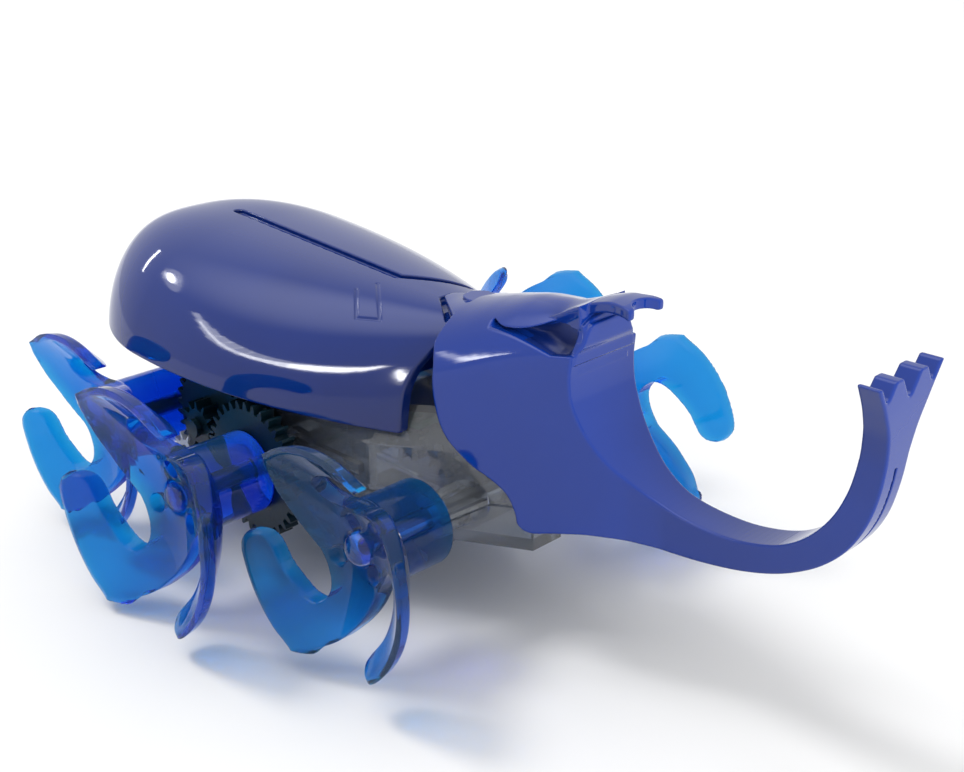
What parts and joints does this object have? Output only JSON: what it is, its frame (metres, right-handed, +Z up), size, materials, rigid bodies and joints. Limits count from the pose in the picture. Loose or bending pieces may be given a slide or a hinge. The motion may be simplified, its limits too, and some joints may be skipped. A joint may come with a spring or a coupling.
{
  "type": "walking beetle robot",
  "caption": "Six-wheeled walking beetle toy robot: claw wheels geared together under a glossy domed shell and a head shell with a long curved horn.",
  "frame": {"origin": "centre of the bounding box in plan, on the floor under the wheels", "axes": "+X forwards towards the horn, +Y to the beetle's left, +Z up"},
  "size_m": [0.1204, 0.0746, 0.0445],
  "materials": {
    "blue_shell": "glossy opaque royal-blue moulded plastic",
    "blue_clear": "glossy translucent blue moulded plastic",
    "smoke_clear": "glossy clear plastic with a smoky grey tint",
    "black_gear": "satin black acetal",
    "white_plastic": "natural white plastic",
    "steel": "bright steel",
    "brass_contact": "plain brass strip",
    "board_green": "green solder mask"
  },
  "bodies": {
    "body": {"battery_contact_minus": "brass_contact", "battery_contact_plus": "brass_contact", "battery_door": "smoke_clear", "button_cell_1": "steel", "button_cell_2": "steel", "chassis_lower_tray": "smoke_clear", "chassis_screw_1": "steel", "chassis_screw_2": "steel", "chassis_screw_3": "steel", "chassis_screw_4": "steel", "chassis_upper_frame": "smoke_clear", "circuit_board": "board_green", "compound_gear_pin": "steel", "front_idler_pin_1": "steel", "front_idler_pin_2": "steel", "front_idler_pin_3": "steel", "head_shell_screw_1": "steel", "head_shell_screw_2": "steel", "head_shell_with_horn": "blue_shell", "motor_can": "steel", "motor_end_cap": "white_plastic", "rear_idler_pin_1": "steel", "rear_idler_pin_2": "steel", "rear_idler_pin_3": "steel", "rear_shell": "blue_shell", "rear_shell_screw_1": "steel", "rear_shell_screw_2": "steel", "switch_housing": "black_gear"},
    "compound": {"compound_gear": "black_gear"},
    "front_axle": {"front_axle_shaft": "steel", "front_left_claw_wheel": "blue_clear", "front_left_hub_cap": "blue_clear", "front_right_claw_wheel": "blue_clear", "front_right_hub_cap": "blue_clear", "front_transfer_gear": "black_gear"},
    "front_idler_1": {"front_idler_gear_1": "black_gear"},
    "front_idler_2": {"front_idler_gear_2": "black_gear"},
    "front_idler_3": {"front_idler_gear_3": "black_gear"},
    "middle_axle": {"middle_axle_shaft": "steel", "middle_drive_gear": "black_gear", "middle_left_claw_wheel": "blue_clear", "middle_left_hub_cap": "blue_clear", "middle_right_claw_wheel": "blue_clear", "middle_right_hub_cap": "blue_clear", "middle_transfer_gear": "black_gear"},
    "motor_rotor": {"motor_pinion": "white_plastic", "motor_shaft": "steel"},
    "rear_axle": {"rear_axle_shaft": "steel", "rear_left_claw_wheel": "blue_clear", "rear_left_hub_cap": "blue_clear", "rear_right_claw_wheel": "blue_clear", "rear_right_hub_cap": "blue_clear", "rear_transfer_gear": "black_gear"},
    "rear_idler_1": {"rear_idler_gear_1": "black_gear"},
    "rear_idler_2": {"rear_idler_gear_2": "black_gear"},
    "rear_idler_3": {"rear_idler_gear_3": "black_gear"},
    "switch": {"switch_slider": "white_plastic"}
  },
  "joints": [
    {"name": "middle_axle_spin", "type": "hinge", "parent": "body", "child": "middle_axle", "pos_m": [-0.0171, 0, 0.01572], "axis": [0, 1, 0], "continuous": true},
    {"name": "front_axle_spin", "type": "hinge", "parent": "body", "child": "front_axle", "pos_m": [0.0084, 0, 0.01572], "axis": [0, 1, 0], "continuous": true},
    {"name": "rear_axle_spin", "type": "hinge", "parent": "body", "child": "rear_axle", "pos_m": [-0.0426, 0, 0.01572], "axis": [0, 1, 0], "continuous": true},
    {"name": "front_idler_1_spin", "type": "hinge", "parent": "body", "child": "front_idler_1", "pos_m": [-0.0106, 0, 0.01572], "axis": [0, 1, 0], "continuous": true},
    {"name": "front_idler_2_spin", "type": "hinge", "parent": "body", "child": "front_idler_2", "pos_m": [-0.00435, 0, 0.01572], "axis": [0, 1, 0], "continuous": true},
    {"name": "front_idler_3_spin", "type": "hinge", "parent": "body", "child": "front_idler_3", "pos_m": [0.0019, 0, 0.01572], "axis": [0, 1, 0], "continuous": true},
    {"name": "rear_idler_1_spin", "type": "hinge", "parent": "body", "child": "rear_idler_1", "pos_m": [-0.0236, 0, 0.01572], "axis": [0, 1, 0], "continuous": true},
    {"name": "rear_idler_2_spin", "type": "hinge", "parent": "body", "child": "rear_idler_2", "pos_m": [-0.02985, 0, 0.01572], "axis": [0, 1, 0], "continuous": true},
    {"name": "rear_idler_3_spin", "type": "hinge", "parent": "body", "child": "rear_idler_3", "pos_m": [-0.0361, 0, 0.01572], "axis": [0, 1, 0], "continuous": true},
    {"name": "compound_spin", "type": "hinge", "parent": "body", "child": "compound", "pos_m": [-0.02835, 0, 0.01811], "axis": [0, 1, 0], "continuous": true},
    {"name": "motor_spin", "type": "hinge", "parent": "body", "child": "motor_rotor", "pos_m": [-0.03552, 0, 0.01188], "axis": [0, 1, 0], "continuous": true},
    {"name": "switch_slide", "type": "slide", "parent": "body", "child": "switch", "axis": [1, 0, 0], "range_m": [0, 0.002]}
  ],
  "couplings": [
    {"joint": "front_axle_spin", "follows": "middle_axle_spin", "ratio": 1},
    {"joint": "rear_axle_spin", "follows": "middle_axle_spin", "ratio": 1},
    {"joint": "front_idler_1_spin", "follows": "middle_axle_spin", "ratio": -1.1667},
    {"joint": "front_idler_2_spin", "follows": "middle_axle_spin", "ratio": 1.0769},
    {"joint": "front_idler_3_spin", "follows": "middle_axle_spin", "ratio": -1.1667},
    {"joint": "rear_idler_1_spin", "follows": "middle_axle_spin", "ratio": -1.1667},
    {"joint": "rear_idler_2_spin", "follows": "middle_axle_spin", "ratio": 1.0769},
    {"joint": "rear_idler_3_spin", "follows": "middle_axle_spin", "ratio": -1.1667},
    {"joint": "compound_spin", "follows": "middle_axle_spin", "ratio": -2.8333},
    {"joint": "motor_spin", "follows": "middle_axle_spin", "ratio": 10.625}
  ]
}
